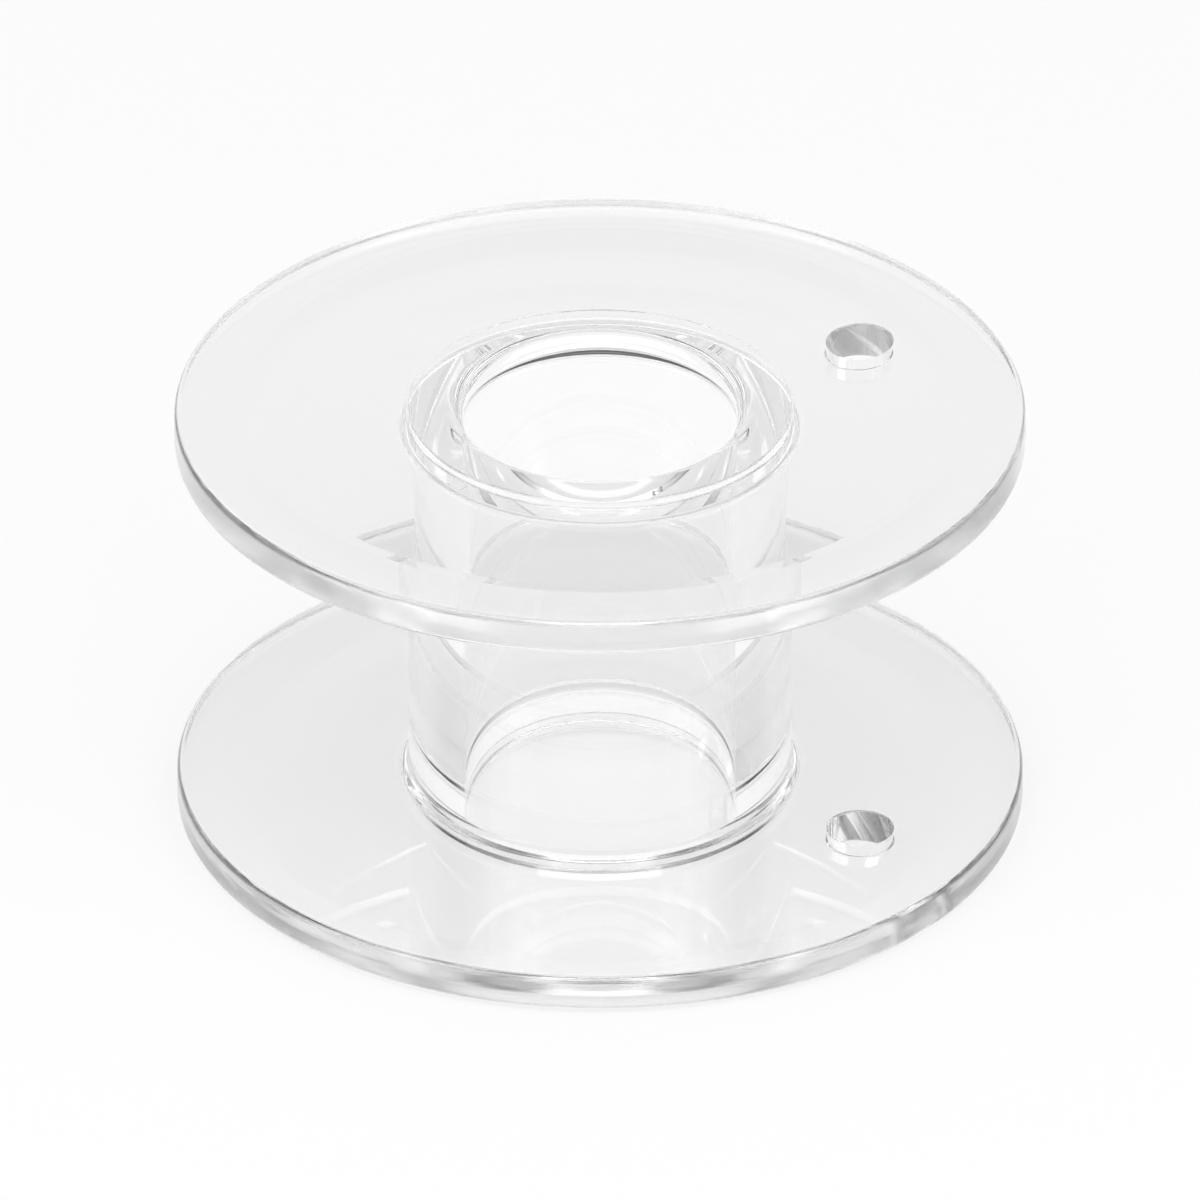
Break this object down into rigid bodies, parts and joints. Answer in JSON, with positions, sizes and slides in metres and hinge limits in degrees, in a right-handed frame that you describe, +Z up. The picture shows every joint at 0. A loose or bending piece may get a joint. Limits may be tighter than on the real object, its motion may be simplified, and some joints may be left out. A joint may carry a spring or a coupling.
{
  "type": "sewing machine bobbin",
  "caption": "Clear moulded thread bobbin with a tubular hub between round flanges, a through bore for a winder spindle and a small thread hole in each flange.",
  "frame": {"origin": "on the bobbin's axis, at the surface that its lower flange stands on", "axes": "+Z up along the bobbin's axis, +X to the right and +Y away from the camera in the picture's view"},
  "size_m": [0.0205, 0.0204, 0.0109],
  "materials": {
    "clear_plastic": "clear and glossy, as moulded"
  },
  "bodies": {
    "root": {"bobbin": "clear_plastic"}
  },
  "joints": []
}
